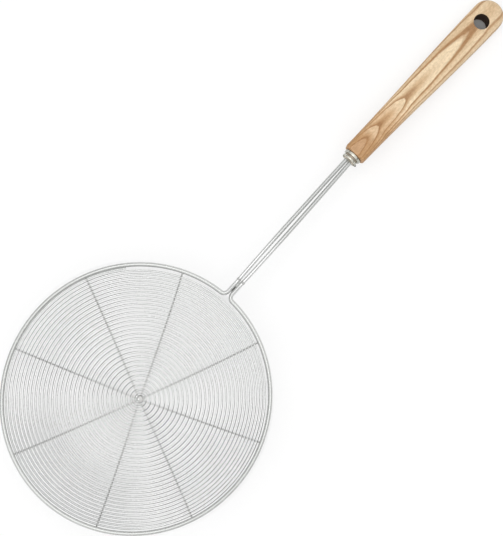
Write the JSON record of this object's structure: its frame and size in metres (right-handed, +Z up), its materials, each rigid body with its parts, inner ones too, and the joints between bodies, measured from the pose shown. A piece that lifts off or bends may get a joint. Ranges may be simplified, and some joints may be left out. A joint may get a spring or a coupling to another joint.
{
  "type": "spider strainer",
  "caption": "Long-handled wire skimmer: a dome wound from one spiral wire on radial ribs, a wire rim running on into a twin-wire stem, a steel ferrule and a wooden handle with a hanging hole.",
  "frame": {"origin": "centre of the flat under the hub button, which stands on the table", "axes": "+Z up as the skimmer lies on a table on its hub and the end of its handle, +X level from the bowl towards the handle, +Y to the left of the handle"},
  "size_m": [0.4516, 0.1775, 0.0643],
  "materials": {
    "drawn_steel": "bright drawn stainless wire",
    "fine_wire_steel": "bright fine stainless wire",
    "welded_steel": "spot weld, slightly dull",
    "cap_steel": "turned stainless, satin",
    "ash_wood": "sanded pale ash, oiled"
  },
  "bodies": {
    "root": {"frame_wire": "drawn_steel", "spiral_wire": "fine_wire_steel", "rib_1": "fine_wire_steel", "rib_2": "fine_wire_steel", "rib_3": "fine_wire_steel", "rib_4": "fine_wire_steel", "rib_5": "fine_wire_steel", "rib_6": "fine_wire_steel", "rib_7": "fine_wire_steel", "rib_8": "fine_wire_steel", "hub": "welded_steel", "neck_weld": "welded_steel", "ferrule": "cap_steel", "locking_pin": "cap_steel", "handle": "ash_wood"}
  },
  "joints": []
}
